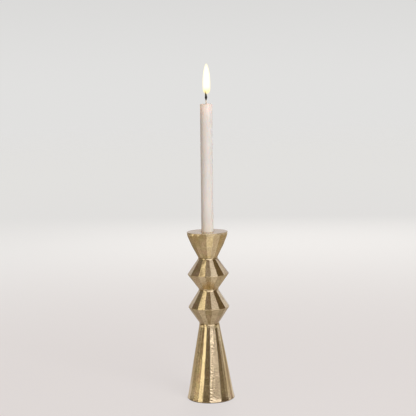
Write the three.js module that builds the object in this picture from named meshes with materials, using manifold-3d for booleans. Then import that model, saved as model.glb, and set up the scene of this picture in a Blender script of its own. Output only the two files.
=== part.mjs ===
// A faceted brass candle holder with a lit dinner candle, in millimetres, +Z up. The origin is on the
// table under the axis, and the front faces -Y. Four hollow castings, a base, two beads and a cup, stand
// on each other by spigots. One threaded rod with a nut at each end draws them together.

import * as THREE from 'three';
import { mergeVertices } from 'three/addons/utils/BufferGeometryUtils.js';
import Module from 'manifold-3d';

const wasm = await Module();
wasm.setup();

// Clearances
const SEAT_GAP = 0.3; // between two faces that rest on each other
const FIT_GAP = 0.3; // round a spigot, a rod, a plate or a wick in its hole
const CANDLE_FIT = 0.5; // round the candle in its socket

// Felt under the foot
const FELT_THICKNESS = 2.2;
const FELT_INSET = 1; // how deep the felt is let into the foot
const FELT_MARGIN = 2; // from the edge of the foot to the felt

// Threaded rod, nuts and washers
const ROD_RADIUS = 4;
const ROD_CHAMFER = 0.8;
const ROD_END = 2; // how far the rod stands out of each nut
const ROD_FELT_GAP = 1.7;
const ROD_SOCKET_GAP = 1; // from the top of the rod to the floor of the socket
const NUT_ACROSS_FLATS = 13;
const NUT_HEIGHT = 6.5;
const WASHER_THICKNESS = 1.6;
const TOP_WASHER_LIP = 0.5; // beyond the corners of the nut
const BASE_WASHER_RADIUS = 12;
const SPRING_WASHER_THICKNESS = 2;
const SPRING_WASHER_WIDTH = 3;
const SPRING_WASHER_SLIT = 8; // degrees
const PLATE_THICKNESS = 3;

// Spigots that centre one casting on the next
const SPIGOT_RADIUS = 11.7;
const SPIGOT_HEIGHT = 4;
const SPIGOT_WALL = 2.7;

// Base casting
const BASE_HEIGHT = 137.3;
const BASE_FOOT_RADIUS = 43.5;
const BASE_FOOT_BAND = 1.2; // upright edge of the foot
const BASE_FOOT_KICK = 1.9; // how far the foot flares out of the cone
const BASE_FOOT_FLARE = 5.3; // height of that flare
const BASE_COLLAR_RADIUS = 19.2;
const BASE_COLLAR_HEIGHT = 8;
const BASE_TOP_RADIUS = 18.3;
const BASE_WALL = 5;
const BASE_NECK_DEPTH = 16; // solid metal under the top face
const BASE_LEDGE = 1.5; // shoulder that the plate pulls against
const BASE_FACETS = 24;
const BASE_FIRST_ARRIS = -3.3; // degrees from the front towards the right

// Bead castings
const BEAD_RADIUS = 37.6;
const BEAD_END_RADIUS = 18;
const LOWER_BEAD_UNDERSIDE = 30.5; // height of each cone
const LOWER_BEAD_SHOULDER = 28.3;
const UPPER_BEAD_UNDERSIDE = 27.9;
const UPPER_BEAD_SHOULDER = 25.7;
const BEAD_COLLAR_HEIGHT = 3.5;
const BEAD_WALL = 7.5;
const BEAD_END_DEPTH = 9; // solid metal at each end
const BEAD_FACETS = 16;
const BEAD_FIRST_ARRIS = -13.9;

// Cup casting
const CUP_RADIUS = 36.8;
const CUP_FOOT_RADIUS = 17.3;
const CUP_RIM_BAND = 4.5; // upright edge of the drip face
const CUP_FLOOR = 14; // solid metal under the top washer
const SOCKET_DEPTH = 21.3;
const CUP_FACETS = 16;
const CUP_FIRST_ARRIS = -3.7;

// Candle, wick and flame
const CANDLE_RADIUS = 11;
const CANDLE_LENGTH = 250;
const CANDLE_EDGE = 0.8; // softened edge at both ends
const CANDLE_POOL_DEPTH = 1.5;
const WICK_RADIUS = 1.2;
const WICK_BARE_LENGTH = 25; // above the candle
const WICK_CLEAN_LENGTH = 7; // of that, not yet charred
const WICK_CHAR_RADIUS = 2;
const WICK_CHAR_HEIGHT = 11; // of the widest place above the candle
const WICK_TIP_RADIUS = 0.5;
const FLAME_HEIGHT = 56;
const FLAME_RADIUS = 6.9;
const FLAME_BELLY_HEIGHT = 20;
const FLAME_LIFT = 4; // of the foot of the flame above the widest place of the wick
const FLAME_LIP = 0.5;
const FLAME_WALL = 1;
const FLAME_TIP = 5; // solid tip above the hollow
const FLAME_FOOT_FULLNESS = 5; // how steeply the belly closes on the wick
const FLAME_SHOULDER = 0.62; // how full the flame stays towards its tip

// How finely round shapes are faceted
const ROUND_STEPS = 32;
const CANDLE_STEPS = 40;
const ROD_STEPS = 16;
const FLAME_STEPS = 16;
const FLAME_RINGS = 12;
const FLAME_RING_BUNCHING = 1.3; // brings the rings closer together at the foot

// How far a cutting tool reaches past the face that it opens
const CUT_OVER = 1;

// Sizes that follow from the others
const mouthRadius = SPIGOT_RADIUS + FIT_GAP;
const mouthDepth = SPIGOT_HEIGHT + SEAT_GAP;
const rodHoleRadius = ROD_RADIUS + FIT_GAP;
const nutCornerRadius = NUT_ACROSS_FLATS / Math.sqrt(3);
const topWasherRadius = nutCornerRadius + TOP_WASHER_LIP;
const nutPocketRadius = topWasherRadius + FIT_GAP;
const socketRadius = CANDLE_RADIUS + CANDLE_FIT;
const feltRadius = BASE_FOOT_RADIUS - FELT_MARGIN;
const lowerBeadHeight = LOWER_BEAD_UNDERSIDE + LOWER_BEAD_SHOULDER + BEAD_COLLAR_HEIGHT;
const upperBeadHeight = UPPER_BEAD_UNDERSIDE + UPPER_BEAD_SHOULDER + BEAD_COLLAR_HEIGHT;
const nutPocketDepth =
  SEAT_GAP + WASHER_THICKNESS + SEAT_GAP + NUT_HEIGHT + ROD_END + ROD_SOCKET_GAP;
const cupHeight = CUP_FLOOR + nutPocketDepth + SOCKET_DEPTH;

// Heights above the table, from the felt up to the flame
const footZ = FELT_THICKNESS - FELT_INSET;
const rodBottomZ = FELT_THICKNESS + ROD_FELT_GAP;
const baseNutZ = rodBottomZ + ROD_END;
const springWasherZ = baseNutZ + NUT_HEIGHT + SEAT_GAP;
const baseWasherZ = springWasherZ + SPRING_WASHER_THICKNESS + SEAT_GAP;
const plateZ = baseWasherZ + WASHER_THICKNESS + SEAT_GAP;
const ledgeZ = plateZ + PLATE_THICKNESS + SEAT_GAP;
const lowerBeadZ = footZ + BASE_HEIGHT + SEAT_GAP;
const upperBeadZ = lowerBeadZ + lowerBeadHeight + SEAT_GAP;
const cupZ = upperBeadZ + upperBeadHeight + SEAT_GAP;
const topWasherZ = cupZ + CUP_FLOOR + SEAT_GAP;
const topNutZ = topWasherZ + WASHER_THICKNESS + SEAT_GAP;
const rodTopZ = topNutZ + NUT_HEIGHT + ROD_END;
const candleZ = cupZ + cupHeight - SOCKET_DEPTH + SEAT_GAP;
const wickCharZ = candleZ + CANDLE_LENGTH + WICK_CHAR_HEIGHT;
const wickTopZ = candleZ + CANDLE_LENGTH + WICK_BARE_LENGTH;
const flameZ = wickCharZ + FLAME_LIFT;

// Turns a profile of [radius, height] points round the Z axis, from the front towards the right
function turn(profile, steps, firstAngle = 0) {
  const points = profile.map(([radius, height]) => new THREE.Vector2(radius, height));
  const geometry = new THREE.LatheGeometry(points, steps, THREE.MathUtils.degToRad(firstAngle));
  return geometry.rotateX(Math.PI / 2);
}

// Merges shared vertices and drops the slivers that a profile leaves where it meets the axis
function weld(geometry) {
  geometry.deleteAttribute('normal');
  geometry.deleteAttribute('uv');
  const welded = mergeVertices(geometry);
  const corners = welded.getIndex().array;
  const kept = [];
  for (let i = 0; i < corners.length; i += 3) {
    const [a, b, c] = corners.slice(i, i + 3);
    if (a !== b && b !== c && c !== a) kept.push(a, b, c);
  }
  welded.setIndex(kept);
  return welded;
}

function toSolid(geometry) {
  const welded = weld(geometry);
  const vertProperties = new Float32Array(welded.getAttribute('position').array);
  const triVerts = new Uint32Array(welded.getIndex().array);
  return new wasm.Manifold(new wasm.Mesh({ numProp: 3, vertProperties, triVerts }));
}

function toGeometry(solid) {
  const mesh = solid.getMesh();
  const geometry = new THREE.BufferGeometry();
  geometry.setAttribute('position', new THREE.BufferAttribute(mesh.vertProperties, 3));
  geometry.setIndex(new THREE.BufferAttribute(mesh.triVerts, 1));
  return geometry;
}

// A faceted casting: its ground outside, a round spigot under it, and the hollow that its core leaves
function cast(outside, spigot, hollow) {
  let solid = toSolid(outside);
  if (spigot) solid = solid.add(toSolid(spigot));
  return toGeometry(solid.subtract(toSolid(hollow)));
}

// A steel disc with a hole for the rod
function drilledDisc(radius, thickness) {
  const profile = [
    [rodHoleRadius, 0],
    [radius, 0],
    [radius, thickness],
    [rodHoleRadius, thickness],
    [rodHoleRadius, 0],
  ];
  return weld(turn(profile, ROUND_STEPS));
}

function spigotUnderCasting() {
  const profile = [
    [0, -SPIGOT_HEIGHT],
    [SPIGOT_RADIUS, -SPIGOT_HEIGHT],
    [SPIGOT_RADIUS, SPIGOT_HEIGHT],
    [0, SPIGOT_HEIGHT],
  ];
  return turn(profile, ROUND_STEPS);
}

const brass = new THREE.MeshStandardMaterial({ color: 0xb7975c, roughness: 0.35, metalness: 0.9 });
const steel = new THREE.MeshStandardMaterial({ color: 0x8f8f8c, roughness: 0.4, metalness: 0.9 });
const felt = new THREE.MeshStandardMaterial({ color: 0x2b2420, roughness: 0.95, metalness: 0 });
const wax = new THREE.MeshStandardMaterial({ color: 0xeadccb, roughness: 0.45, metalness: 0 });
const cotton = new THREE.MeshStandardMaterial({ color: 0x2a221c, roughness: 0.9, metalness: 0 });
const fire = new THREE.MeshStandardMaterial({ color: 0xfff3c4, roughness: 1, metalness: 0 });

// Base: a tall cone with a flared foot, hollow from below, with a collar that carries the lower bead
function baseCone() {
  const coneFoot = BASE_FOOT_BAND + BASE_FOOT_FLARE;
  const coneFootRadius = BASE_FOOT_RADIUS - BASE_FOOT_KICK;
  const coneTop = BASE_HEIGHT - BASE_COLLAR_HEIGHT;
  const taper = (coneFootRadius - BASE_COLLAR_RADIUS) / (coneTop - coneFoot);
  const hollowRadius = (height) => coneFootRadius - taper * (height - coneFoot) - BASE_WALL;
  const outside = [
    [0, 0],
    [BASE_FOOT_RADIUS, 0],
    [BASE_FOOT_RADIUS, BASE_FOOT_BAND],
    [coneFootRadius, coneFoot],
    [BASE_COLLAR_RADIUS, coneTop],
    [BASE_TOP_RADIUS, BASE_HEIGHT],
    [0, BASE_HEIGHT],
  ];
  const feltSeat = FELT_INSET + SEAT_GAP;
  const ledge = ledgeZ - footZ;
  const neck = BASE_HEIGHT - BASE_NECK_DEPTH;
  const plateBoreRadius = hollowRadius(ledge) + BASE_LEDGE;
  const hollow = [
    [0, -CUT_OVER],
    [feltRadius + FIT_GAP, -CUT_OVER],
    [feltRadius + FIT_GAP, feltSeat],
    [plateBoreRadius, feltSeat],
    [plateBoreRadius, ledge],
    [hollowRadius(ledge), ledge],
    [hollowRadius(neck), neck],
    [rodHoleRadius, neck],
    [rodHoleRadius, BASE_HEIGHT - mouthDepth],
    [mouthRadius, BASE_HEIGHT - mouthDepth],
    [mouthRadius, BASE_HEIGHT + CUT_OVER],
    [0, BASE_HEIGHT + CUT_OVER],
  ];
  const faceted = turn(outside, BASE_FACETS, BASE_FIRST_ARRIS);
  return {
    casting: cast(faceted, null, turn(hollow, ROUND_STEPS)),
    plateRadius: plateBoreRadius - FIT_GAP,
  };
}

// Bead: two cones foot to foot, hollow, open at both ends, with a spigot below and a mouth above
function bead(underside, shoulder) {
  const upperConeTop = underside + shoulder;
  const height = upperConeTop + BEAD_COLLAR_HEIGHT;
  const swell = BEAD_RADIUS - BEAD_END_RADIUS;
  const floor = BEAD_END_DEPTH;
  const ceiling = height - BEAD_END_DEPTH;
  const floorRadius = BEAD_END_RADIUS + (swell * floor) / underside - BEAD_WALL;
  const ceilingRadius = BEAD_END_RADIUS + (swell * (upperConeTop - ceiling)) / shoulder - BEAD_WALL;
  const outside = [
    [0, 0],
    [BEAD_END_RADIUS, 0],
    [BEAD_RADIUS, underside],
    [BEAD_END_RADIUS, upperConeTop],
    [BEAD_END_RADIUS, height],
    [0, height],
  ];
  const hollow = [
    [0, -SPIGOT_HEIGHT - CUT_OVER],
    [SPIGOT_RADIUS - SPIGOT_WALL, -SPIGOT_HEIGHT - CUT_OVER],
    [SPIGOT_RADIUS - SPIGOT_WALL, floor],
    [floorRadius, floor],
    [BEAD_RADIUS - BEAD_WALL, underside],
    [ceilingRadius, ceiling],
    [mouthRadius, ceiling],
    [mouthRadius, height + CUT_OVER],
    [0, height + CUT_OVER],
  ];
  const faceted = turn(outside, BEAD_FACETS, BEAD_FIRST_ARRIS);
  return cast(faceted, spigotUnderCasting(), turn(hollow, ROUND_STEPS));
}

// Cup: a flaring cone with a flat drip face, the candle socket, and a pocket for the nut in its floor
function cup() {
  const socketFloor = cupHeight - SOCKET_DEPTH;
  const outside = [
    [0, 0],
    [CUP_FOOT_RADIUS, 0],
    [CUP_RADIUS, cupHeight - CUP_RIM_BAND],
    [CUP_RADIUS, cupHeight],
    [0, cupHeight],
  ];
  const hollow = [
    [0, -SPIGOT_HEIGHT - CUT_OVER],
    [rodHoleRadius, -SPIGOT_HEIGHT - CUT_OVER],
    [rodHoleRadius, CUP_FLOOR],
    [nutPocketRadius, CUP_FLOOR],
    [nutPocketRadius, socketFloor],
    [socketRadius, socketFloor],
    [socketRadius, cupHeight + CUT_OVER],
    [0, cupHeight + CUT_OVER],
  ];
  const faceted = turn(outside, CUP_FACETS, CUP_FIRST_ARRIS);
  return cast(faceted, spigotUnderCasting(), turn(hollow, ROUND_STEPS));
}

// Felt disc glued into the foot
function feltPad() {
  const profile = [
    [0, 0],
    [feltRadius, 0],
    [feltRadius, FELT_THICKNESS],
    [0, FELT_THICKNESS],
  ];
  return weld(turn(profile, ROUND_STEPS));
}

// Rod through all four castings, with chamfered ends
function tieRod() {
  const length = rodTopZ - rodBottomZ;
  const profile = [
    [0, 0],
    [ROD_RADIUS - ROD_CHAMFER, 0],
    [ROD_RADIUS, ROD_CHAMFER],
    [ROD_RADIUS, length - ROD_CHAMFER],
    [ROD_RADIUS - ROD_CHAMFER, length],
    [0, length],
  ];
  return weld(turn(profile, ROD_STEPS));
}

// Hexagonal nut
function nut() {
  const outline = new THREE.Shape();
  for (let corner = 0; corner < 6; corner += 1) {
    const angle = (corner * Math.PI) / 3;
    const x = nutCornerRadius * Math.cos(angle);
    const y = nutCornerRadius * Math.sin(angle);
    if (corner === 0) outline.moveTo(x, y);
    else outline.lineTo(x, y);
  }
  outline.closePath();
  outline.holes.push(new THREE.Path().absarc(0, 0, rodHoleRadius, 0, 2 * Math.PI, true));
  const settings = { depth: NUT_HEIGHT, bevelEnabled: false, curveSegments: ROD_STEPS };
  return weld(new THREE.ExtrudeGeometry(outline, settings));
}

// Spring washer: a flat ring slit through on one side
function springWasher() {
  const halfSlit = THREE.MathUtils.degToRad(SPRING_WASHER_SLIT / 2);
  const outline = new THREE.Shape();
  outline.absarc(0, 0, rodHoleRadius + SPRING_WASHER_WIDTH, halfSlit, 2 * Math.PI - halfSlit, false);
  outline.absarc(0, 0, rodHoleRadius, 2 * Math.PI - halfSlit, halfSlit, true);
  outline.closePath();
  const settings = {
    depth: SPRING_WASHER_THICKNESS,
    bevelEnabled: false,
    curveSegments: ROUND_STEPS,
  };
  return weld(new THREE.ExtrudeGeometry(outline, settings));
}

// Candle: a straight round stick with a bore for its wick and a shallow pool round it
function candle() {
  const boreRadius = WICK_RADIUS + FIT_GAP;
  const profile = [
    [boreRadius, 0],
    [CANDLE_RADIUS - CANDLE_EDGE, 0],
    [CANDLE_RADIUS, CANDLE_EDGE],
    [CANDLE_RADIUS, CANDLE_LENGTH - CANDLE_EDGE],
    [CANDLE_RADIUS - CANDLE_EDGE, CANDLE_LENGTH],
    [boreRadius, CANDLE_LENGTH - CANDLE_POOL_DEPTH],
    [boreRadius, 0],
  ];
  return weld(turn(profile, CANDLE_STEPS));
}

// Wick: runs through the whole candle, and swells where it is charred
function wick() {
  const length = wickTopZ - candleZ;
  const profile = [
    [0, 0],
    [WICK_RADIUS, 0],
    [WICK_RADIUS, CANDLE_LENGTH + WICK_CLEAN_LENGTH],
    [WICK_CHAR_RADIUS, CANDLE_LENGTH + WICK_CHAR_HEIGHT],
    [WICK_TIP_RADIUS, length],
    [0, length],
  ];
  return weld(turn(profile, ROD_STEPS));
}

// Flame: a thin glowing shell in the form of a drop, open at its foot round the tip of the wick
function flame() {
  const tipTaper = (WICK_CHAR_RADIUS - WICK_TIP_RADIUS) / (wickTopZ - wickCharZ);
  const footRadius = WICK_CHAR_RADIUS - tipTaper * FLAME_LIFT + FIT_GAP;
  const lipRadius = footRadius + FLAME_LIP;
  const outerRadius = (height) => {
    const below = Math.max(0, 1 - height / FLAME_BELLY_HEIGHT);
    const above = Math.max(0, height - FLAME_BELLY_HEIGHT) / (FLAME_HEIGHT - FLAME_BELLY_HEIGHT);
    const drawnIn = (FLAME_RADIUS - lipRadius) * below ** FLAME_FOOT_FULLNESS;
    return (FLAME_RADIUS - drawnIn) * (1 - above ** 2) ** FLAME_SHOULDER;
  };
  const outside = [];
  const inside = [];
  for (let step = 0; step < FLAME_RINGS; step += 1) {
    const rise = 1 - Math.cos((step / FLAME_RINGS) * (Math.PI / 2)) ** FLAME_RING_BUNCHING;
    const innerHeight = (FLAME_HEIGHT - FLAME_TIP) * rise;
    outside.push([outerRadius(FLAME_HEIGHT * rise), FLAME_HEIGHT * rise]);
    inside.unshift([Math.max(footRadius, outerRadius(innerHeight) - FLAME_WALL), innerHeight]);
  }
  const tips = [
    [0, FLAME_HEIGHT],
    [0, FLAME_HEIGHT - FLAME_TIP],
  ];
  return weld(turn([...outside, ...tips, ...inside, outside[0]], FLAME_STEPS));
}

const holder = new THREE.Group();

function place(name, geometry, material, height) {
  const mesh = new THREE.Mesh(geometry, material);
  mesh.name = name;
  mesh.position.z = height;
  holder.add(mesh);
}

const base = baseCone();
place('felt_pad', feltPad(), felt, 0);
place('base_cone', base.casting, brass, footZ);
place('lower_bead', bead(LOWER_BEAD_UNDERSIDE, LOWER_BEAD_SHOULDER), brass, lowerBeadZ);
place('upper_bead', bead(UPPER_BEAD_UNDERSIDE, UPPER_BEAD_SHOULDER), brass, upperBeadZ);
place('cup', cup(), brass, cupZ);
place('tie_rod', tieRod(), steel, rodBottomZ);
place('base_nut', nut(), steel, baseNutZ);
place('spring_washer', springWasher(), steel, springWasherZ);
place('base_washer', drilledDisc(BASE_WASHER_RADIUS, WASHER_THICKNESS), steel, baseWasherZ);
place('base_plate', drilledDisc(base.plateRadius, PLATE_THICKNESS), steel, plateZ);
place('top_washer', drilledDisc(topWasherRadius, WASHER_THICKNESS), steel, topWasherZ);
place('top_nut', nut(), steel, topNutZ);
place('candle', candle(), wax, candleZ);
place('wick', wick(), cotton, candleZ);
place('flame', flame(), fire, flameZ);

export default holder;
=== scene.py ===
"""A faceted brass candle holder with a lit dinner candle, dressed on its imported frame, in metres."""

import math

import bpy
import numpy as np
from mathutils import Matrix, Vector


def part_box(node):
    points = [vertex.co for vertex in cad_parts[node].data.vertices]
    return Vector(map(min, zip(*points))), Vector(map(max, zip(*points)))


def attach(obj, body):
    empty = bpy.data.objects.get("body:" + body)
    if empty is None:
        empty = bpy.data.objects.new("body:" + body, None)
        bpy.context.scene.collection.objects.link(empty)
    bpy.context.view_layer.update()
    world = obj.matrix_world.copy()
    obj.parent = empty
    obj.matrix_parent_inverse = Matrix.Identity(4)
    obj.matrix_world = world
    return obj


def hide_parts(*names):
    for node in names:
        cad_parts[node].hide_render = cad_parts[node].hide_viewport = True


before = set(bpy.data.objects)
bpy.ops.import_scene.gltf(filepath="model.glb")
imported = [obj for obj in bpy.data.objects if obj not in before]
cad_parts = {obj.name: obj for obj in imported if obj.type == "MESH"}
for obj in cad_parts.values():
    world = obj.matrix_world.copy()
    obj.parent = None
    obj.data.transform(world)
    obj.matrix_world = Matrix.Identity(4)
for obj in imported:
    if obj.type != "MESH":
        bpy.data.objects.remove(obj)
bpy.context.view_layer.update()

# Felt pad
# A disc of dark pressed wool, punched out and glued into the foot of the base, with a fuzzy cut edge.
# Only its edge shows, as the thin dark line that the holder stands on.


class Wire:
    """One socket of a node tree: arithmetic on it adds Math nodes, and node() adds any other node."""

    def __init__(self, tree, socket=None):
        self.tree = tree
        self.socket = socket

    def node(self, kind, settings=None, inputs=None, output=None):
        made = self.tree.nodes.new(kind)
        for name, value in (settings or {}).items():
            setattr(made, name, value)
        for name, value in (inputs or {}).items():
            if isinstance(name, int):
                socket = made.inputs[name]
            else:
                socket = next(s for s in made.inputs if s.name == name and s.enabled)
            if isinstance(value, Wire):
                self.tree.links.new(value.socket, socket)
            else:
                socket.default_value = value
        if output is None:
            ends = [s for s in made.outputs if s.enabled]
        else:
            ends = [s for s in made.outputs if s.name == output and s.enabled]
        return Wire(self.tree, ends[0] if ends else None)

    def calc(self, operation, *values):
        return self.node("ShaderNodeMath", {"operation": operation}, dict(enumerate(values)))

    def ease(self, low, high):
        """0 up to low and 1 from high on, with a smooth step between."""
        span = {"Value": self, "From Min": low, "From Max": high}
        return self.node("ShaderNodeMapRange", {"interpolation_type": "SMOOTHSTEP"}, span)

    def mix(self, first, second):
        """The first colour at 0 and the second at 1."""
        sockets = {"Factor": self, "A": first, "B": second}
        return self.node("ShaderNodeMix", {"data_type": "RGBA"}, sockets)

    def __add__(self, other):
        return self.calc("ADD", self, other)

    def __sub__(self, other):
        return self.calc("SUBTRACT", self, other)

    def __rsub__(self, other):
        return self.calc("SUBTRACT", other, self)

    def __mul__(self, other):
        return self.calc("MULTIPLY", self, other)

    def __truediv__(self, other):
        return self.calc("DIVIDE", self, other)

    def __rtruediv__(self, other):
        return self.calc("DIVIDE", other, self)

    __radd__ = __add__
    __rmul__ = __mul__


def new_finish(name, **constants):
    """A material, a wire to build on and its shader node, with the constants set on the shader."""
    finish = bpy.data.materials.new(name)
    finish.use_nodes = True
    shader = finish.node_tree.nodes["Principled BSDF"]
    for socket, value in constants.items():
        shader.inputs[socket.replace("_", " ")].default_value = value
    return finish, Wire(finish.node_tree), shader


def feed(shader, **wires):
    """Links wires to the sockets of a shader."""
    for socket, wire in wires.items():
        wire.tree.links.new(wire.socket, shader.inputs[socket.replace("_", " ")])


def noise(start, scale, detail=2.0, roughness=0.5, stretch=(1.0, 1.0, 1.0)):
    """Noise on the piece's own coordinates, in metres, with scale in lumps per metre."""
    where = start.node("ShaderNodeTexCoord", output="Object")
    where = start.node("ShaderNodeMapping", None, {"Vector": where, "Scale": stretch})
    sockets = {"Vector": where, "Scale": scale, "Detail": detail, "Roughness": roughness}
    return start.node("ShaderNodeTexNoise", None, sockets)


def bump(start, height, strength, distance):
    sockets = {"Height": height, "Strength": strength, "Distance": distance}
    return start.node("ShaderNodeBump", None, sockets)


def wrap_mesh(name, rows, closed):
    """A mesh round the Z axis from rows of points: each row a ring, or one point where it is a pole.

    closed joins the last row to the first. Rows run up the outside, so that faces point out."""
    starts = []
    points = []
    for row in rows:
        starts.append(len(points))
        points.extend(row)
    faces = []
    count = max(len(row) for row in rows)
    pairs = list(zip(range(len(rows)), range(1, len(rows))))
    if closed:
        pairs.append((len(rows) - 1, 0))
    for low, high in pairs:
        for i in range(count):
            j = (i + 1) % count
            if len(rows[low]) == 1:
                faces.append((starts[low], starts[high] + j, starts[high] + i))
            elif len(rows[high]) == 1:
                faces.append((starts[low] + i, starts[low] + j, starts[high]))
            else:
                faces.append((starts[low] + i, starts[low] + j, starts[high] + j, starts[high] + i))
    mesh = bpy.data.meshes.new(name)
    mesh.from_pydata(points, [], faces)
    mesh.shade_smooth()
    mesh.update()
    piece = bpy.data.objects.new(name, mesh)
    bpy.context.scene.collection.objects.link(piece)
    return piece


def ring(radius, height, steps):
    """A ring of points, from the front (-Y) towards the right (+X)."""
    angles = np.arange(steps) * (2 * math.pi / steps)
    radius = np.broadcast_to(radius, steps)
    height = np.broadcast_to(height, steps)
    return np.column_stack((radius * np.sin(angles), -radius * np.cos(angles), height)).tolist()


MM = 0.001


def felt_finish():
    finish, start, shader = new_finish("pressed felt", Roughness=0.95, Sheen_Weight=0.4)
    fibres = noise(start, 2600, 4, 0.7)
    clumps = noise(start, 300, 3)
    tone = (fibres * 0.6 + clumps * 0.5).ease(0.35, 0.75)
    feed(shader, Base_Color=tone.mix((0.010, 0.008, 0.007, 1), (0.040, 0.031, 0.026, 1)))
    feed(shader, Normal=bump(start, fibres, 0.8, 0.4 * MM))
    return finish


felt_low, felt_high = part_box("felt_pad")
felt_radius = (felt_high.x - felt_low.x) / 2
felt_steps = 180
felt_edge = 0.4 * MM
felt_outline = (
    (felt_radius - felt_edge, felt_low.z),
    (felt_radius, felt_low.z + felt_edge),
    (felt_radius, (felt_low.z + felt_high.z) / 2),
    (felt_radius, felt_high.z - felt_edge),
    (felt_radius - felt_edge, felt_high.z),
)
fuzz = np.random.default_rng(3).uniform(-0.18 * MM, 0.1 * MM, (len(felt_outline), felt_steps))
felt_rows = [[(0, 0, felt_low.z)], ring(felt_radius / 2, felt_low.z, felt_steps)]
for (radius, height), loose in zip(felt_outline, fuzz):
    felt_rows.append(ring(radius + loose, height, felt_steps))
felt_rows += [ring(felt_radius / 2, felt_high.z, felt_steps), [(0, 0, felt_high.z)]]
felt = wrap_mesh("felt_disc", felt_rows, False)
felt.data.materials.append(felt_finish())
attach(felt, "holder")
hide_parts("felt_pad")

# Ground castings
# Four hollow brass sand castings, turned and then ground by hand on a wheel, one flat at a time. No two
# flats are alike: they differ in width and depth, carry the ripples of the wheel, and run out in small
# arches where the wheel was lifted at a collar. The brass is darkened in blots and rubbed back on the
# arrises, with painted shade along the unrubbed arrises, on the downward faces, at the foot and in the
# hollows of the ripples, and a painted highlight on the ripple crests.

SEAM = 0.05 * MM  # that shows between two castings
SEAT_GAP = 0.3 * MM  # between the castings of the frame
LIP = 1.6 * MM  # height of the filed upper edge
SPIGOT_HEIGHT = 4 * MM
SPIGOT_RADIUS = 11.7 * MM
MOUTH_RADIUS = 12 * MM
ROD_HOLE = 4.3 * MM
OVERSIZE = 0.1 * MM  # of the turned blank over the arrises
shared_marks = {
    "Wander Pitch": 24 * MM,
    "Dimple Depth": 0.12 * MM,
    "Dimple Size": 4.5 * MM,
    "Arris Softness": 0.12 * MM,
}


def stored(start, name):
    """A number that is kept on the piece's points under a name."""
    return start.node("ShaderNodeAttribute", {"attribute_name": name}, output="Fac")


def brass_finish():
    """Brass darkened in blots and rubbed bright on arrises, with painted highlights on ripple crests
    and painted shade in ripple hollows, along unrubbed arrises, on downward faces and at the foot.
    """
    finish, start, shader = new_finish(
        "antique brass",
        Metallic=1.0,
        Coat_Weight=0.1,
        Coat_Roughness=0.2,
    )
    arris = stored(start, "arris")
    tint = stored(start, "tint")
    # Painted shade kept on the piece's points: on the downward-facing cones and at the foot of the base
    painted_shade = stored(start, "painted_shade")
    ripple = stored(start, "ripple")
    ground = stored(start, "ground")
    clouds = noise(start, 70, 4, 0.6)
    blots = noise(start, 330, 3, 0.65)
    specks = noise(start, 900, 3, 0.7)
    scratches = noise(start, 800, 3, 0.65, (0.12, 0.12, 1.0))
    edge = 1 - arris.ease(0.0, 0.25 * MM)
    handled = noise(start, 45, 2).ease(0.42, 0.58)
    mottle = (clouds * 0.25 + blots * 0.9 + specks * 0.65 - 0.9) * (0.3 + ground * 0.7)
    aged = (mottle + tint * 0.65 + 0.11).ease(-0.15, 0.95)
    old = noise(start, 80, 2).ease(0.3, 0.7).mix((0.425, 0.333, 0.152, 1), (0.465, 0.313, 0.178, 1))
    body = aged.mix((0.84, 0.685, 0.43, 1), old)
    # Rubbed bright on handled arrises, which is wear, plus a painted highlight on the crests of the wheel's
    # ripples
    rubbed_and_crest_highlight = (edge * handled * 0.6 + ripple.ease(0.1, 0.8) * 0.15).mix(body, (0.88, 0.74, 0.48, 1))
    # Painted shade in the hollows of the wheel's ripples
    ripple_hollow_shade = (0 - ripple).ease(0.05, 0.6) * 0.15
    pits = specks.ease(0.6, 0.85) * ground * 0.22
    # Painted shade along the arrises that are not rubbed
    arris_shade = edge * (1 - handled) * 0.5
    # Darkened casting pits, which are real, summed with the painted shade on downward faces, foot, ripple
    # hollows and arrises
    pits_and_painted_shade = (painted_shade * (clouds + blots) + pits + ripple_hollow_shade + arris_shade).ease(0.0, 1.0)
    feed(shader, Base_Color=pits_and_painted_shade.mix(rubbed_and_crest_highlight, (0.15, 0.095, 0.04, 1)))
    feed(shader, Roughness=0.115 + scratches * 0.13 + aged * 0.06 + pits_and_painted_shade * 0.2)
    feed(shader, Normal=bump(start, specks * 0.3 + scratches * 0.9, 0.5, 0.2 * MM))
    return finish


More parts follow.
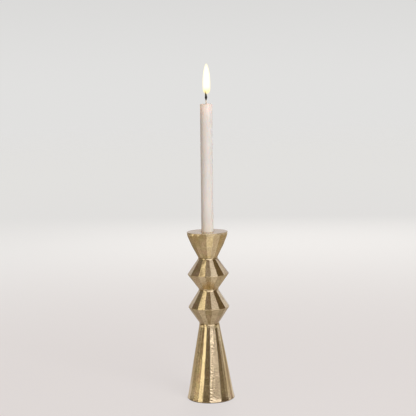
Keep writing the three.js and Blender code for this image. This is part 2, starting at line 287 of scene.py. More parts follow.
def casting_tree():
    """Geometry Nodes that sweep a profile round the axis and grind flats into it.

    A profile vertex is one row: x is the radius of its arrises, z its height. Its attributes say how far
    it is ground (1) or round (0), the radius of the turned blank, how far the wheel was lifted, how hard
    it chattered, how much painted shade it gets and how far the flats are turned. The first vertices also
    say, one for each flat, at which angle the flat starts and how evenly the wheel rippled it."""
    tree = bpy.data.node_groups.new("ground casting", "GeometryNodeTree")
    tree.interface.new_socket("Casting", in_out="OUTPUT", socket_type="NodeSocketGeometry")
    tree.interface.new_socket("Profile", in_out="INPUT", socket_type="NodeSocketGeometry")
    for name, kind in (
        ("Flats", "Int"),
        ("Columns", "Int"),
        ("Uneven Depth", "Float"),
        ("Wander Depth", "Float"),
        ("Wander Turn", "Float"),
        ("Wander Pitch", "Float"),
        ("Ripple Depth", "Float"),
        ("Ripple Turn", "Float"),
        ("Ripple Pitch", "Float"),
        ("Hollow Depth", "Float"),
        ("Dimple Depth", "Float"),
        ("Dimple Size", "Float"),
        ("Arris Softness", "Float"),
        ("Seed", "Int"),
        ("Finish", "Material"),
    ):
        tree.interface.new_socket(name, in_out="INPUT", socket_type="NodeSocket" + kind)
    start = Wire(tree)
    entry = tree.nodes.new("NodeGroupInput")
    given = {socket.name: Wire(tree, socket) for socket in entry.outputs if socket.name}
    profile = given["Profile"]
    columns = given["Columns"]
    flats = given["Flats"]
    seed = given["Seed"]
    alike = 1e-7
    weld = 1e-6

    rows = start.node("GeometryNodeAttributeDomainSize", None, {"Geometry": profile}, "Point Count")
    index = start.node("GeometryNodeInputIndex")
    column = start.calc("FLOOR", (index + 0.5) / (rows + 1))
    row = start.calc("FLOORED_MODULO", index - column * (rows + 1), rows)
    along = start.calc("FLOORED_MODULO", column, columns) * flats / columns
    nearest = start.calc("FLOOR", along)

    def sampled(name, where=row):
        value = start.node("GeometryNodeInputNamedAttribute", {"data_type": "FLOAT"}, {"Name": name})
        sockets = {"Geometry": profile, "Value": value, "Index": where}
        return start.node("GeometryNodeSampleIndex", {"data_type": "FLOAT"}, sockets)

    def flat_start(count):
        rounds = start.calc("FLOOR", count / flats)
        return sampled("start", count - rounds * flats) + rounds * (2 * math.pi)

    place = start.node("GeometryNodeInputPosition")
    sockets = {"Geometry": profile, "Value": place, "Index": row}
    place = start.node("GeometryNodeSampleIndex", {"data_type": "FLOAT_VECTOR"}, sockets)
    radius = start.node("ShaderNodeSeparateXYZ", None, {"Vector": place}, "X")
    height = start.node("ShaderNodeSeparateXYZ", None, {"Vector": place}, "Z")
    lift = sampled("lift")
    chatter = sampled("chatter")
    begin = flat_start(nearest)
    turn = begin + (flat_start(nearest + 1) - begin) * (along - nearest)

    def chance(flat, low, high, salt):
        """A number between low and high for one flat, where salt keeps the draws apart."""
        sockets = {"Min": low, "Max": high, "ID": flat, "Seed": seed + salt}
        return start.node("FunctionNodeRandomValue", {"data_type": "FLOAT"}, sockets)

    def waver(flat, pitch, salt):
        """Noise about 0 up one flat, with lumps about pitch apart."""
        where = {"X": flat * 7.3 + seed, "Y": height / pitch + salt, "Z": flat * 3.1}
        where = start.node("ShaderNodeCombineXYZ", None, where)
        return start.node("ShaderNodeTexNoise", None, {"Vector": where, "Scale": 1.0}) - 0.5

    def flat_cut(offset):
        """Radius on the vertex's own ray of the flat that lies offset places on, and the ripple there."""
        count = nearest + offset
        flat = start.calc("FLOORED_MODULO", count, flats)
        begin = flat_start(count)
        half = (flat_start(count + 1) - begin) / 2
        drift = waver(flat, given["Wander Pitch"], 0)
        slant = (turn - begin - half) / half * chance(flat, -1.2, 1.2, 6)
        phase = height / given["Ripple Pitch"] * (2 * math.pi) + drift * 18 + flat * 2.4 + slant
        patch = waver(flat, given["Wander Pitch"] * 0.45, 50).ease(-0.1, 0.16)
        rough = chance(flat, 0.0, 1.0, 3)
        strength = patch * (0.1 + rough * rough * 0.45) + sampled("rippled", flat)
        ripple = start.calc("SINE", phase) * strength * chatter
        swing = waver(flat, given["Wander Pitch"], 90) * given["Wander Turn"]
        facing = begin + half + swing + ripple * given["Ripple Turn"]
        uneven = given["Uneven Depth"]
        depth = chance(flat, 0 - uneven, uneven, 2)
        depth = depth + drift * given["Wander Depth"] + ripple * given["Ripple Depth"]
        across = (turn - facing) / half
        hollow = given["Hollow Depth"] * chance(flat, -0.3, 1.0, 4) * (1 - across * across)
        apothem = radius * start.calc("COSINE", half) + lift
        return (apothem + depth - hollow) / start.calc("COSINE", turn - facing), ripple

    before, _ = flat_cut(-1)
    here, ripple = flat_cut(0)
    after, _ = flat_cut(1)
    softness = given["Arris Softness"]
    lower = start.calc("MINIMUM", before, here)
    upper = start.calc("MAXIMUM", before, here)
    first = start.calc("MINIMUM", lower, after)
    second = start.calc("MAXIMUM", lower, start.calc("MINIMUM", upper, after))
    cut = start.calc("SMOOTH_MIN", first, second, softness)
    blank = sampled("blank")
    ground = start.calc("SMOOTH_MIN", cut, blank, softness)
    share = sampled("ground")
    out = radius + (ground - radius) * share
    turned = turn + sampled("twist")
    ahead = start.calc("SINE", turned)
    aside = start.calc("COSINE", turned)
    spot = start.node("ShaderNodeCombineXYZ", None, {"X": out * ahead, "Y": out * aside, "Z": height})
    spot = {"Vector": spot, "Scale": 1 / given["Dimple Size"], "Detail": 1.0}
    dimple = start.node("ShaderNodeTexNoise", None, spot) - 0.5
    out = out + dimple * given["Dimple Depth"] * share

    side_before = start.calc("COMPARE", before, first, alike)
    side_after = start.calc("COMPARE", after, first, alike)
    flat = start.calc("FLOORED_MODULO", nearest - side_before + side_after, flats)
    arris = start.calc("MINIMUM", second - first, start.calc("ABSOLUTE", cut - blank)) + (1 - share)

    counts = {"Vertices X": columns + 1, "Vertices Y": rows + 1}
    grid = start.node("GeometryNodeMeshGrid", None, counts, "Mesh")
    place = start.node("ShaderNodeCombineXYZ", None, {"X": out * ahead, "Y": 0 - out * aside, "Z": height})
    shape = start.node("GeometryNodeSetPosition", None, {"Geometry": grid, "Position": place})
    on_points = {"data_type": "FLOAT", "domain": "POINT"}
    for name, value in (
        ("arris", arris),
        ("tint", 0.25 + (chance(flat, 0.0, 1.0, 5) - 0.25) * share),
        ("ripple", ripple * share),
        ("ground", share),
        # painted shade on downward faces and at the foot, from the profile
        ("painted_shade", sampled("painted_shade")),
    ):
        sockets = {"Geometry": shape, "Name": name, "Value": value}
        shape = start.node("GeometryNodeStoreNamedAttribute", on_points, sockets)
    shape = start.node("GeometryNodeMergeByDistance", None, {"Geometry": shape, "Distance": weld})
    shape = start.node("GeometryNodeSetShadeSmooth", None, {"Geometry": shape})
    shape = start.node("GeometryNodeRealizeInstances", None, {"Geometry": shape})
    shape = start.node("GeometryNodeSetMaterial", None, {"Geometry": shape, "Material": given["Finish"]})
    last = tree.nodes.new("NodeGroupOutput")
    tree.links.new(shape.socket, last.inputs["Casting"])
    return tree


def fine_rows(corners, spacing):
    """Points along straight stretches between corners of (radius, height), about spacing apart."""
    rows = []
    for start, end in zip(corners, corners[1:]):
        count = max(1, round(math.dist(start, end) / spacing))
        for i in range(count):
            part = i / count
            rows.append((start[0] + (end[0] - start[0]) * part, start[1] + (end[1] - start[1]) * part))
    return rows + [corners[-1]]


def lip_rows(radius, top):
    """The filed upper edge of a casting, a slightly round chamfer under the next one's foot."""
    turns = np.radians(np.linspace(10, 34, 7))
    bow = LIP / (math.sin(turns[-1]) - math.sin(turns[0]))
    foot = top - LIP
    return [
        (radius - bow * (math.cos(turns[0]) - math.cos(t)), foot + bow * (math.sin(t) - math.sin(turns[0])))
        for t in turns
    ]


def flat_starts(front, count, seed):
    """Where each flat starts, in degrees from the front: the front arrises, then on round the back."""
    back = np.linspace(front[-1], front[0] + 360, count - len(front) + 2)[1:-1]
    back += np.random.default_rng(seed).uniform(-1.5, 1.5, len(back))
    return np.radians([*front, *back])


def cast_piece(name, node, ground, round_rows, starts, rippled, rules, settings):
    """A casting from its ground rows, its round closing rows and its flats.

    rippled says which flats the wheel rippled evenly, rules how each attribute changes up the height."""
    rows = [(x, z, 1.0) for x, z in ground] + [(x, z, 0.0) for x, z in round_rows]
    mesh = bpy.data.meshes.new(name + " profile")
    mesh.from_pydata([(x, 0, z) for x, z, _ in rows], [], [])
    values = {"ground": [share for _, _, share in rows]}
    values["start"] = np.append(starts, np.zeros(len(rows) - len(starts)))
    values["rippled"] = [rippled.get(flat, 0.0) for flat in range(len(rows))]
    for attribute, rule in rules.items():
        values[attribute] = [rule(z) for _, z, _ in rows]
    for attribute, value in values.items():
        mesh.attributes.new(attribute, "FLOAT", "POINT").data.foreach_set("value", value)
    maker = bpy.data.objects.new(name + " maker", mesh)
    bpy.context.scene.collection.objects.link(maker)
    modifier = maker.modifiers.new("ground casting", "NODES")
    modifier.node_group = ground_casting
    sockets = {s.name: s.identifier for s in ground_casting.interface.items_tree if s.in_out == "INPUT"}
    for socket, value in {**shared_marks, **settings}.items():
        modifier[sockets[socket]] = value
    modifier[sockets["Flats"]] = len(starts)
    modifier[sockets["Finish"]] = antique_brass
    depsgraph = bpy.context.evaluated_depsgraph_get()
    made = bpy.data.meshes.new_from_object(maker.evaluated_get(depsgraph), depsgraph=depsgraph)
    made.name = name
    bpy.data.objects.remove(maker)
    piece = bpy.data.objects.new(name, made)
    bpy.context.scene.collection.objects.link(piece)
    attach(piece, "holder")
    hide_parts(node)


ground_casting = casting_tree()
antique_brass = brass_finish()

# The base
# A tall cone of cast brass, hollow from below, with a kick at the foot and a collar that carries the lower
# bead. A steel plate in the foot takes the pull of the rod.

base_low, base_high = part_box("base_cone")
base_foot = 43.5 * MM
base_cone_foot = (41.6 * MM, base_low.z + 6.5 * MM)
base_collar = (19.2 * MM, base_high.z - 8 * MM)
base_taper = (base_cone_foot[0] - base_collar[0]) / (base_collar[1] - base_cone_foot[1])
base_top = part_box("lower_bead")[0].z + SPIGOT_HEIGHT - SEAM
base_mouth = base_high.z - SPIGOT_HEIGHT - SEAT_GAP
base_hollow_top = (15.7 * MM, base_high.z - 16 * MM)
base_hollow_foot = (34.7 * MM, base_low.z + 19 * MM)
base_plate_recess = 36.2 * MM
base_felt_recess = (41.8 * MM, base_low.z + 1.3 * MM)
base_uncut = 60 * MM
base_edge = 0.5 * MM
base_edge_height = 0.4 * MM
base_row_step = 0.55 * MM
# how high the painted shade at the foot of the base reaches
base_shade_height = 1.5 * MM
base_calming = (55 * MM, 85 * MM)
base_blank_radius = 18.4 * MM
base_run_out = base_top - 7 * MM
base_wheel = 14 * MM
base_twist = math.radians(8)
base_front = (-65, -50, -34.8, -21.8, -4.2, 9, 25.6, 40, 47.5, 57, 69)
base_starts = flat_starts(base_front, 25, 11)
base_rippled = {4: 0.7}
base_kick = base_foot - base_cone_foot[0] - base_taper * (base_cone_foot[1] - base_low.z)
base_flare = 5 * MM
base_ground = [(base_foot - base_edge, base_low.z)]
for height in np.arange(base_low.z + base_edge_height, base_top - LIP, base_row_step):
    cone = base_collar[0] + base_taper * (base_collar[1] - height)
    kick = base_kick * math.exp((base_low.z - height) / base_flare)
    base_ground.append((cone + kick, height))
base_round = lip_rows(base_blank_radius, base_top) + [
    (MOUTH_RADIUS, base_top),
    (MOUTH_RADIUS, base_mouth),
    (ROD_HOLE, base_mouth),
    (ROD_HOLE, base_hollow_top[1]),
    base_hollow_top,
    base_hollow_foot,
    (base_plate_recess, base_hollow_foot[1]),
    (base_plate_recess, base_felt_recess[1]),
    base_felt_recess,
    (base_felt_recess[0], base_low.z),
]


def base_blank(height):
    cone = base_collar[0] - base_taper * (height - base_collar[1])
    return max(base_blank_radius, cone + OVERSIZE) if height > base_cone_foot[1] else base_uncut


def base_lift(height):
    return max(0, height - base_run_out) ** 2 / (2 * base_wheel)


# Painted shade at the foot, fading within a few millimetres of the floor
def base_painted_shade(height):
    return 0.6 * math.exp(-(height - base_low.z) / base_shade_height)


def base_chatter(height):
    return float(np.interp(height - base_low.z, base_calming, (1.0, 0.25)))


def base_turned(height):
    return base_twist * (height - base_low.z) / (base_high.z - base_low.z)


cast_piece(
    "base_casting",
    "base_cone",
    base_ground,
    base_round,
    base_starts,
    base_rippled,
    {
        "blank": base_blank,
        "lift": base_lift,
        "chatter": base_chatter,
        "painted_shade": base_painted_shade,
        "twist": base_turned,
    },
    {
        "Columns": 350,
        "Uneven Depth": 0.08 * MM,
        "Wander Depth": 0.2 * MM,
        "Wander Turn": math.radians(2.2),
        "Ripple Depth": 0.05 * MM,
        "Ripple Turn": math.radians(2),
        "Ripple Pitch": 4.6 * MM,
        "Hollow Depth": 0.1 * MM,
        "Seed": 48456,
    },
)

# The two beads
# Double cones of cast brass with a worn edge round the middle, hollow, with a spigot below and a mouth
# above, so that each centres on the casting under it.


def make_bead(name, node, underside, front, seed, lower_shade):
    """A bead: underside is the height of its lower cone, and the last argument is how much painted shade
    that cone gets.
    """
    low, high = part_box(node)
    spigot = low.z
    foot = spigot + SPIGOT_HEIGHT
    middle = foot + underside
    top = high.z + SEAT_GAP - SEAM
    neck = (15.1 * MM, high.z - 9 * MM)
    hollow = (30.1 * MM, middle)
    floor = (16.7 * MM, foot + 9 * MM)
    bore = 9 * MM
    collar_height = 1.6 * MM
    collar = high.z - collar_height
    end = 18.0 * MM
    foot_end = end - 0.9 * MM
    blank_radius = end + OVERSIZE
    belly = 37.6 * MM
    worn_edge = 0.3 * MM
    rise = (belly - end) / (collar - middle)
    fall = (belly - end) / (middle - foot)
    wheel = 4 * MM
    run_out_above = 3.2 * MM
    run_out_below = 2.5 * MM
    row_step = 0.45 * MM
    lip_end = end - rise * (top - LIP - collar)
    ground = fine_rows([(foot_end, foot), (belly, middle), (lip_end, top - LIP)], row_step)
    round_rows = lip_rows(blank_radius, top) + [
        (MOUTH_RADIUS, top),
        (MOUTH_RADIUS, neck[1]),
        neck,
        hollow,
        floor,
        (bore, floor[1]),
        (bore, spigot),
        (SPIGOT_RADIUS, spigot),
        (SPIGOT_RADIUS, foot),
    ]

    def blank(height):
        if height > middle:
            cone = belly - rise * (height - middle)
        else:
            cone = belly - fall * (middle - height)
        return min(belly - worn_edge, max(blank_radius, cone + OVERSIZE))

    def lift(height):
        above = max(0, height - (top - run_out_above))
        below = max(0, foot + run_out_below - height)
        return (above**2 + below**2) / (2 * wheel)

    def chatter(height):
        return 1.0 if height > middle else 0.15

    # Painted shade on the downward-facing lower cone
    def painted_shade(height):
        return lower_shade if height < middle else 0.0

    cast_piece(
        name,
        node,
        ground,
        round_rows,
        flat_starts(front, 16, seed),
        {},
        {"blank": blank, "lift": lift, "chatter": chatter, "painted_shade": painted_shade},
        {
            "Columns": 384,
            "Uneven Depth": 0.1 * MM,
            "Wander Depth": 0.8 * MM,
            "Wander Turn": math.radians(10),
            "Ripple Depth": 0.05 * MM,
            "Ripple Turn": math.radians(2),
            "Ripple Pitch": 3.8 * MM,
            "Hollow Depth": 0.14 * MM,
            "Seed": seed,
        },
    )


lower_front = (-79, -56, -32, -11, 8.5, 29, 51, 74)
upper_front = (-82, -58, -26.5, -8, 9, 26, 49, 72)
# The last number of each bead is the painted shade on its lower cone
make_bead("lower_bead_casting", "lower_bead", 30.5 * MM, lower_front, 41751, 0.42)
make_bead("upper_bead_casting", "upper_bead", 27.9 * MM, upper_front, 57995, 0.3)

# The cup
# A flaring cone of cast brass with a flat drip face on top. The socket takes the candle, and a pocket in its
# floor holds the top nut of the rod.

cup_low, cup_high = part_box("cup")
cup_foot = cup_low.z + SPIGOT_HEIGHT
cup_end = 17.3 * MM
cup_rim = 36.8 * MM
cup_band = cup_high.z - 4.5 * MM
cup_edge = 0.6 * MM
cup_socket = (11.5 * MM, cup_high.z - 21.3 * MM)
cup_pocket = (8.3 * MM, cup_foot + 14 * MM)
cup_wheel = 5 * MM
cup_run_out = 2.5 * MM
cup_row_step = 0.45 * MM
cup_starts = flat_starts((-78, -59, -46, -26, -3, 17, 37, 54, 74), 17, 5)
cup_corners = [
    (cup_end - 0.2 * MM, cup_foot),
    (29.3 * MM, cup_foot + 23.4 * MM),
    (35.6 * MM, cup_high.z - 8.7 * MM),
    (cup_rim, cup_band),
    (cup_rim + 0.7 * MM, cup_high.z - cup_edge),
]
cup_ground = fine_rows(cup_corners, cup_row_step)
cup_round = []
for turn in np.radians((15, 35, 55, 75, 90)):
    cup_round.append(
        (cup_rim - cup_edge * (1 - math.cos(turn)), cup_high.z - cup_edge * (1 - math.sin(turn)))
    )
cup_round += [(radius * MM, cup_high.z) for radius in (30, 24, 18, 12)]
cup_round += [
    (cup_socket[0], cup_high.z - 0.5 * MM),
    cup_socket,
    (cup_pocket[0], cup_socket[1]),
    cup_pocket,
    (ROD_HOLE, cup_pocket[1]),
    (ROD_HOLE, cup_low.z),
    (SPIGOT_RADIUS, cup_low.z),
    (SPIGOT_RADIUS, cup_foot),
]


def cup_blank(height):
    if height > cup_band - 4 * MM:
        return cup_rim
    radii, heights = zip(*cup_corners)
    return max(cup_end + OVERSIZE, np.interp(height, heights, radii) + 0.2 * MM)


def cup_lift(height):
    return max(0, cup_foot + cup_run_out - height) ** 2 / (2 * cup_wheel)


def cup_chatter(height):
    return 0.5


# Painted shade on the downward-facing cone below the rim band
def cup_painted_shade(height):
    return 0.15 if height < cup_band else 0.0


cast_piece(
    "cup_casting",
    "cup",
    cup_ground,
    cup_round,
    cup_starts,
    {},
    {"blank": cup_blank, "lift": cup_lift, "chatter": cup_chatter, "painted_shade": cup_painted_shade},
    {
        "Columns": 408,
        "Uneven Depth": 0.1 * MM,
        "Wander Depth": 0.5 * MM,
        "Wander Turn": math.radians(7),
        "Ripple Depth": 0.07 * MM,
        "Ripple Turn": math.radians(2.4),
        "Ripple Pitch": 3.2 * MM,
        "Hollow Depth": 0.14 * MM,
        "Seed": 53911,
    },
)

# Steel hardware
# The zinc-plated rod, nuts, washers and plate that clamp the castings together. They are hidden, apart
# from the nut in the floor of the socket when the candle is out.


def zinc_finish():
    finish, start, shader = new_finish("zinc plated steel", Metallic=1.0)
    spangle = noise(start, 240, 3, 0.6)
    scuffs = noise(start, 1800, 2, 0.6)
    tone = (spangle * 0.7 + scuffs * 0.4).ease(0.35, 0.75)
    feed(shader, Base_Color=tone.mix((0.40, 0.40, 0.38, 1), (0.62, 0.62, 0.58, 1)))
    feed(shader, Roughness=0.3 + spangle * 0.25)
    feed(shader, Normal=bump(start, scuffs, 0.2, 0.1 * MM))
    return finish


zinc = zinc_finish()
for node in (
    "tie_rod",
    "base_nut",
    "spring_washer",
    "base_washer",
    "base_plate",
    "top_washer",
    "top_nut",
):
    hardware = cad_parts[node]
    hardware.data.materials.clear()
    hardware.data.materials.append(zinc)

# Candle
# A straight drawn dinner candle of ivory wax, with a faint waver down its side and a shallow melted pool
# round the wick. Light goes a little way into it.


def height_above_floor(start):
    """Height in the piece's own coordinates, in metres."""
    where = start.node("ShaderNodeTexCoord", output="Object")
    return start.node("ShaderNodeSeparateXYZ", None, {"Vector": where}, "Z")


def wax_finish():
    """Ivory wax, with a painted glow of the flame at its top and of the bright drip face at its foot."""
    finish, start, shader = new_finish(
        "ivory wax",
        Subsurface_Weight=0.4,
        Subsurface_Radius=(1.0, 0.65, 0.45),
        Subsurface_Scale=4 * MM,
        Specular_IOR_Level=0.4,
        Emission_Strength=1.0,
    )
    bloom = noise(start, 60, 4, 0.6, (1.0, 1.0, 0.3))
    streaks = noise(start, 260, 3, 0.6, (1.0, 1.0, 0.05))
    tone = (bloom * 0.7 + streaks * 0.4).ease(0.3, 0.8)
    feed(shader, Base_Color=tone.mix((0.755, 0.71, 0.672, 1), (0.82, 0.785, 0.758, 1)))
    feed(shader, Roughness=0.38 + bloom * 0.2)
    height = height_above_floor(start)
    # Painted light: a warm glow from the flame towards the top and a glow bounced off the drip face towards
    # the foot
    lit = height.ease(candle_high.z - candle_lit_length, candle_high.z)
    bounced = 1 - height.ease(cup_high.z, cup_high.z + candle_bounce_height)
    bounced = bounced.mix((0, 0, 0, 1), (0.1, 0.085, 0.07, 1))
    feed(shader, Emission_Color=lit.mix(bounced, (0.16, 0.085, 0.04, 1)))
    feed(shader, Normal=bump(start, streaks * 0.6 + bloom * 0.4, 0.15, 0.4 * MM))
    return finish


candle_low, candle_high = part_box("candle")
candle_radius = (candle_high.x - candle_low.x) / 2
candle_steps = 96
candle_bore = 1.5 * MM
candle_edge = 1.5 * MM
candle_sunk = 0.3 * MM
candle_pool = 1.4 * MM
candle_pool_radius = candle_radius - 1.7 * MM
candle_lit_length = 30 * MM
candle_bounce_height = 22 * MM
candle_angles = np.arange(candle_steps) * (2 * math.pi / candle_steps)
candle_sway = 0.05 * MM
candle_rim_sway = 0.175 * MM * np.sin(candle_angles * 2 + 0.6) + 0.084 * MM * np.sin(candle_angles * 5)
candle_rows = [
    ring(candle_bore, candle_low.z, candle_steps),
    ring(candle_radius - 1.2 * MM, candle_low.z, candle_steps),
    ring(candle_radius - 0.3 * MM, candle_low.z + 0.4 * MM, candle_steps),
]
for share in np.linspace(0.005, 0.985, 90):
    height = candle_low.z + (candle_high.z - candle_low.z) * share
    sway = candle_sway * (math.sin(height * 95) + 0.7 * math.sin(height * 210 + 1.3))
    candle_rows.append(ring(candle_radius - candle_sway * 1.7 + sway, height, candle_steps))
for turn in np.linspace(0.0, 1.0, 7):
    angle = turn * math.pi / 2
    candle_rows.append(
        ring(
            candle_radius - candle_edge * (1 - math.cos(angle)) - 0.1 * MM,
            candle_high.z - candle_edge * (1 - math.sin(angle)) - candle_sunk + candle_rim_sway,
            candle_steps,
        )
    )
for share in np.linspace(0.08, 1.0, 9):
    radius = candle_pool_radius - (candle_pool_radius - candle_bore) * share
    sink = candle_pool * math.sin(share * math.pi / 2)
    sway = candle_rim_sway * (1 - share) - candle_sunk
    candle_rows.append(ring(radius, candle_high.z - sink + sway, candle_steps))
candle_aside = 0.2 * MM
candle_tilt = math.radians(0.72)
candle_lean = Matrix.Translation((candle_aside, 0, 0))
candle_lean[0][2] = math.tan(candle_tilt)
candle_lean[0][3] -= candle_lean[0][2] * candle_low.z
candle = wrap_mesh("candle_stick", candle_rows, True)
candle.data.transform(candle_lean)
candle.data.materials.append(wax_finish())
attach(candle, "candle")
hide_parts("candle")

# Wick
# Braided cotton that runs through the whole candle. Above the pool it is waxy and pale, then charred black
# with a swollen head.


def wick_finish():
    finish, start, shader = new_finish("charred cotton", Roughness=0.9)
    height = height_above_floor(start)
    fibres = noise(start, 3000, 3, 0.7)
    char = (height + fibres * (2 * MM)).ease(candle_high.z + 6 * MM, candle_high.z + 9 * MM)
    cotton = fibres.mix((0.80, 0.68, 0.56, 1), (0.90, 0.82, 0.72, 1))
    soot = fibres.mix((0.004, 0.003, 0.002, 1), (0.03, 0.02, 0.012, 1))
    feed(shader, Base_Color=char.mix(cotton, soot))
    feed(shader, Normal=bump(start, fibres, 0.8, 0.3 * MM))
    return finish


wick_low, wick_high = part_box("wick")
wick_steps = 24
wick_bare = candle_high.z - 4 * MM
wick_thin = 1.15 * MM
wick_head = 2.5 * MM
wick_tip = 0.6 * MM
wick_clean = 7 * MM
wick_head_height = 11 * MM
wick_taper = 14 * MM
wick_bend_height = candle_high.z + 13 * MM
wick_bend = 2 * MM
wick_rows = [[(0, 0, wick_low.z)], ring(1.1 * MM, wick_low.z, wick_steps)]
wick_angles = np.arange(wick_steps) * (2 * math.pi / wick_steps)
for height in np.linspace(wick_bare, wick_high.z - 0.4 * MM, 60):
    above = height - candle_high.z
    if above < wick_head_height:
        thick = np.interp(above, (wick_clean, wick_head_height), (wick_thin, wick_head))
    else:
        thick = wick_head - (wick_head - wick_tip) * ((above - wick_head_height) / wick_taper) ** 0.7
    lay = height * 1500
    braid = 1 + 0.1 * np.cos(3 * wick_angles - lay) + 0.06 * np.cos(3 * wick_angles + lay)
    wick_rows.append(ring(thick * 0.93 * braid, height, wick_steps))
wick_rows.append([(0, 0, wick_high.z)])
wick = wrap_mesh("braided_wick", wick_rows, False)
wick.data.transform(candle_lean)
for vertex in wick.data.vertices:
    bent = max(0, vertex.co.z - wick_bend_height) / (wick_high.z - wick_bend_height)
    vertex.co.x -= wick_bend * bent**1.4
wick.data.materials.append(wick_finish())
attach(wick, "candle")
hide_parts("wick")

# Flame
# A steady candle flame: a faint yellow skin, a yellow mantle and a white heart, clear round the wick.
# Three drops, one inside the other, carry the three glows.


def flame_finish():
    finish, start, shader = new_finish(
        "candle flame", Base_Color=(0, 0, 0, 1), Roughness=1.0, Specular_IOR_Level=0.0, Emission_Strength=1.5
    )
    depth = stored(start, "depth")
    rise = (height_above_floor(start) - flame_low.z) / flame_tall
    heart = depth.mix((1.0, 0.86, 0.50, 1), (1.0, 0.97, 0.90, 1))
    foot = rise.ease(0.05, 0.3)
    feed(shader, Emission_Color=foot.mix((1.0, 0.78, 0.3, 1), heart))
    feed(shader, Alpha=(0.3 + depth * 0.57) * rise.ease(-0.05, 0.22))
    return finish


flame_low, flame_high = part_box("flame")
flame_tall = flame_high.z - flame_low.z
flame_radius = (flame_high.x - flame_low.x) / 2
flame_belly = 0.36
flame_steps = 48
flame_aside = 1.0 * MM
# Of each drop: how deep it lies, and its width, its foot and its top as shares of the flame
flame_skin = (0.0, 1.0, 0.0, 1.0)
flame_mantle = (0.5, 0.86, 0.04, 0.965)
flame_heart = (1.0, 0.68, 0.1, 0.92)


def flame_width(rise):
    below = max(0, 1 - rise / flame_belly)
    above = max(0, rise - flame_belly) / (1 - flame_belly)
    return flame_radius * (1 - 0.66 * below**4) * (1 - above**2) ** 0.62


def flame_drop(scale, foot, top):
    rows = [[(0, 0, flame_low.z + flame_tall * foot)]]
    for share in np.linspace(0.0, 1.0, 40)[1:-1]:
        rise = 0.5 - 0.5 * math.cos(share * math.pi)
        width = flame_width(rise) * scale * min(1.0, (rise / 0.06) ** 0.5)
        rows.append(ring(width, flame_low.z + flame_tall * (foot + (top - foot) * rise), flame_steps))
    rows.append([(0, 0, flame_low.z + flame_tall * top)])
    return rows


flame_shells = []
for depth, scale, foot, top in (flame_skin, flame_mantle, flame_heart):
    shell = wrap_mesh("flame_shell", flame_drop(scale, foot, top), False)
    attribute = shell.data.attributes.new("depth", "FLOAT", "POINT")
    attribute.data.foreach_set("value", [depth] * len(shell.data.vertices))
    flame_shells.append(shell)
flame = flame_shells[0]
flame.name = "flame_glow"
with bpy.context.temp_override(
    active_object=flame, object=flame, selected_objects=flame_shells, selected_editable_objects=flame_shells
):
    bpy.ops.object.join()
flame.data.transform(Matrix.Translation((flame_aside, 0, 0)) @ candle_lean)
flame.data.materials.append(flame_finish())
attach(flame, "candle")
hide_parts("flame")

# Floor, light and camera
# A pale floor that fades into a pale studio with a bright wall behind. Softboxes, wings and cards stand
# round the holder for the brass to mirror, and a key, a lamp and a rear light shine on the wax.


def floor_finish():
    finish, start, shader = new_finish(
        "pale floor",
        Base_Color=(0.2, 0.195, 0.19, 1),
        Roughness=0.9,
        Specular_IOR_Level=0.0,
        Emission_Strength=1.0,
    )
    where = start.node("ShaderNodeTexCoord", output="Object")
    far = start.node("ShaderNodeVectorMath", {"operation": "LENGTH"}, {0: where}, "Value")
    # Painted shade: the floor glows a little dimmer towards the holder
    near = far.ease(0.3, 2.2).mix((0.605, 0.575, 0.57, 1), (0.68, 0.675, 0.67, 1))
    feed(shader, Emission_Color=far.ease(1.2, 5.0).mix(near, (0.70, 0.70, 0.69, 1)))
    feed(shader, Alpha=1 - far.ease(5.0, 11.5))
    return finish


floor_radius = 12.0
floor = wrap_mesh("floor", [ring(floor_radius, 0.0, 96), [(0, 0, 0)]], False)
floor.data.materials.append(floor_finish())


def studio_world():
    world = bpy.data.worlds.new("soft studio")
    world.use_nodes = True
    bpy.context.scene.world = world
    tree = world.node_tree
    tree.nodes.clear()
    start = Wire(tree)
    way = start.node("ShaderNodeTexCoord", output="Generated")
    x = start.node("ShaderNodeSeparateXYZ", None, {"Vector": way}, "X")
    y = start.node("ShaderNodeSeparateXYZ", None, {"Vector": way}, "Y")
    z = start.node("ShaderNodeSeparateXYZ", None, {"Vector": way}, "Z")
    turn = start.calc("ARCTAN2", x, 0 - y) * (180 / math.pi)
    rise = start.calc("ARCSINE", z) * (180 / math.pi)

    behind = (turn.ease(145, 165) + (0 - turn).ease(145, 165)) * (1 - rise.ease(18, 34))
    glow = behind * 0.58 + rise.ease(56, 80) * 0.7
    fill = 0.105 + rise.ease(18, 36) * 0.085
    warm = {"Red": glow + fill, "Green": glow + fill * 0.75, "Blue": glow * 1.12 + fill * 0.46}
    warm = start.node("ShaderNodeCombineColor", None, warm)
    seen = start.node("ShaderNodeLightPath", output="Is Camera Ray")
    wall = rise.ease(-1, 6).mix((0.755, 0.75, 0.74, 1), (0.69, 0.685, 0.675, 1))
    light = start.node("ShaderNodeBackground", None, {"Color": seen.mix(warm, wall), "Strength": 1.0})
    start.node("ShaderNodeOutputWorld", None, {"Surface": light})


studio_world()


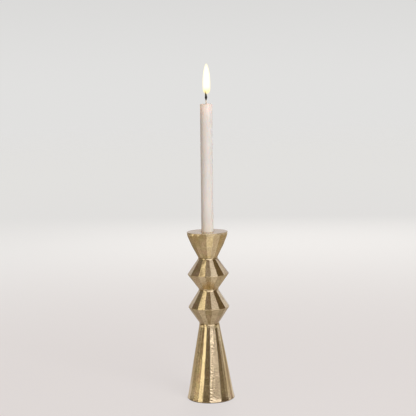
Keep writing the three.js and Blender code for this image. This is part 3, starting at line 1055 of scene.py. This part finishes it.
def panel(name, spot, power, colour, slope=6):
    """A soft-edged panel that only the metal shows: spot gives its point at shares across and up.

    slope says how fast it brightens from its lower and upper edges."""
    steps = np.linspace(0, 1, 25)
    points = []
    glow = []
    for up in steps:
        for across in steps:
            points.append(spot(across, up))
            glow.append(min(1, 4 * across, 4 * (1 - across)) * min(1, slope * up, slope * (1 - up)))
    row = len(steps)
    corners = [i * row + j for i in range(row - 1) for j in range(row - 1)]
    mesh = bpy.data.meshes.new(name)
    mesh.from_pydata(points, [], [(c, c + 1, c + row + 1, c + row) for c in corners])
    mesh.attributes.new("glow", "FLOAT", "POINT").data.foreach_set("value", glow)
    board = bpy.data.objects.new(name, mesh)
    bpy.context.scene.collection.objects.link(board)
    finish, start, shader = new_finish(
        name, Base_Color=(0, 0, 0, 1), Emission_Color=colour, Emission_Strength=power
    )
    feed(shader, Alpha=stored(start, "glow").ease(0, 1))
    mesh.materials.append(finish)
    board.visible_camera = False
    board.visible_diffuse = False
    board.visible_shadow = False


screen_reach = 2.6
screen_height = 0.2
card_height = 2 * MM


def screen(middle, half, low, high, lean):
    """A panel bent round the holder, in degrees, that leans away to the side as it rises."""

    def spot(across, up):
        rise = math.radians(low + (high - low) * up)
        turn = math.radians(middle + half * (2 * across - 1)) + lean * rise
        flat = screen_reach * math.cos(rise)
        height = screen_height + screen_reach * math.sin(rise)
        return flat * math.sin(turn), -flat * math.cos(turn), height

    return spot


def card(middle, half, near, far):
    """A panel that lies on the floor, in degrees and metres."""

    def spot(across, up):
        turn = math.radians(middle + half * (2 * across - 1))
        reach = near + (far - near) * up
        return reach * math.sin(turn), -reach * math.cos(turn), card_height

    return spot


warm_light = (1.0, 0.94, 0.78, 1)
cool_light = (1.0, 0.985, 1.1, 1)
gloom = (1.0, 0.85, 0.6, 1)
panel("left softbox", screen(-46, 17, -14, 44, -0.3), 1.46, warm_light)
panel("left high softbox", screen(-65, 18, 40, 74, 0.0), 1.3, warm_light)
panel("left side softbox", screen(-112, 16, 26, 54, 0.0), 0.42, cool_light)
panel("right softbox", screen(4, 17, 5.2, 17, 0.77), 5.0, cool_light, 2)
panel("right upper softbox", screen(4, 17, 9, 46, 0.77), 0.6, cool_light)
panel("right far softbox", screen(34, 16, 0, 46, 0.6), 1.65, cool_light)
panel("right high softbox", screen(50, 16, 44, 72, 0.0), 0.9, cool_light)
panel("overhead softbox", screen(0, 180, 68, 88, 0.0), 1.4, cool_light)
panel("middle softbox", screen(14, 42, 18, 40, 0.0), 2.2, cool_light)
panel("top softbox", screen(20, 24, 50, 74, 0.0), 0.45, cool_light)
panel("left wing", screen(-84, 9, -14, 5, 0.0), 1.5, warm_light)
panel("left rear softbox", screen(-140, 13, -8, 42, 0.0), 0.6, cool_light)
panel("left rear high softbox", screen(-130, 16, 42, 72, 0.0), 1.0, warm_light)
panel("rear high softbox", screen(163, 16, 42, 72, 0.0), 0.9, cool_light)
panel("right rear high softbox", screen(125, 13, 38, 72, 0.0), 0.9, cool_light)
panel("right rear softbox", screen(134, 13, -4, 42, 0.0), 0.78, cool_light)
panel("right wing", screen(106, 14, -3, 8, 0.0), 1.1, cool_light, 4)
panel("left card", card(-108.5, 105.5, 0.2, 1.3), 0.45, gloom)
panel("left far card", card(-88, 10, 0.4, 2.4), 1.6, warm_light)
panel("front card", card(8, 22, 0.11, 0.5), 0.92, warm_light, 3)
panel("right card", card(118, 68, 0.2, 1.3), 0.52, gloom)
panel("left rear card", card(-140, 40, 0.9, 4.0), 0.4, gloom, 3)
panel("rear card", card(180, 65, 0.1, 1.6), 0.22, gloom, 2.5)


def soft_light(name, size, power, colour, place, target):
    """A square light on the wax and the floor that the metal doesn't show."""
    light = bpy.data.lights.new(name, "AREA")
    light.size = size
    light.energy = power
    light.color = colour
    fitting = bpy.data.objects.new(name, light)
    bpy.context.scene.collection.objects.link(fitting)
    facing = (Vector(target) - Vector(place)).to_track_quat("-Z", "Y").to_matrix().to_4x4()
    fitting.matrix_world = Matrix.Translation(place) @ facing
    fitting.visible_glossy = False
    fitting.visible_camera = False


soft_light("key", 1.4, 47, (1.0, 1.0, 1.0), (1.32, -2.2, 1.4), (0, 0, 0.4))
soft_light("lamp", 1.0, 2.0, (1.0, 0.6, 0.32), (-1.5, -0.9, 0.8), (0, 0, 0.42))
soft_light("rear light", 1.4, 20, (1.0, 0.96, 0.9), (0.3, 2.2, 1.3), (0, 0, 0.4))

bpy.context.scene.view_settings.view_transform = "Standard"

camera_sensor = 36
camera_field = math.radians(19.4)
lens = bpy.data.cameras.new("camera")
lens.sensor_width = camera_sensor
lens.lens = camera_sensor / (2 * math.tan(camera_field / 2))
camera = bpy.data.objects.new("camera", lens)
bpy.context.scene.collection.objects.link(camera)
camera_place = Vector((0.0024, -2.17, 0.5945))
camera_aim = Vector((0.0024, 0.0, 0.3482))
camera_roll = math.radians(-1.35)
aim = (camera_aim - camera_place).to_track_quat("-Z", "Y").to_matrix().to_4x4()
camera.matrix_world = Matrix.Translation(camera_place) @ aim @ Matrix.Rotation(camera_roll, 4, "Z")
bpy.context.scene.camera = camera
